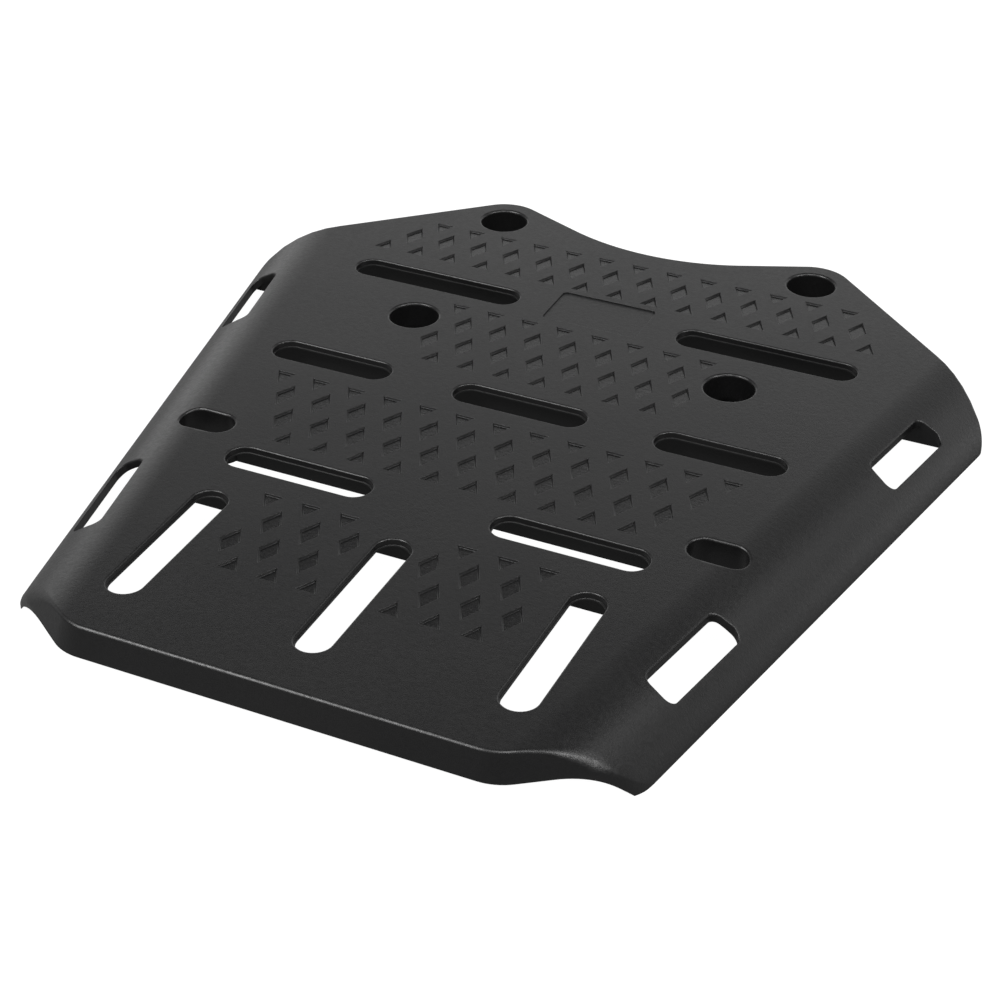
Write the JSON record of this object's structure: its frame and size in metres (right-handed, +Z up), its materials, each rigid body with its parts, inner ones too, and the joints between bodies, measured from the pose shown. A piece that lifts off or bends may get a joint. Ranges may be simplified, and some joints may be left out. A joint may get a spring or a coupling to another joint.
{
  "type": "motorcycle rear rack",
  "caption": "Flat cast luggage plate with bent-down sides, strap slots, side windows, bolt holes and a sunk diamond grip pattern.",
  "frame": {"origin": "centre of the plate's length and width, at the level of the side flanges' feet", "axes": "+X to the right across the plate, +Y forward to the two ears, +Z up out of the loading face"},
  "size_m": [0.2296, 0.247, 0.015],
  "materials": {
    "black_coat": "satin black coat on cast aluminium"
  },
  "bodies": {
    "root": {"rack_plate": "black_coat"}
  },
  "joints": []
}
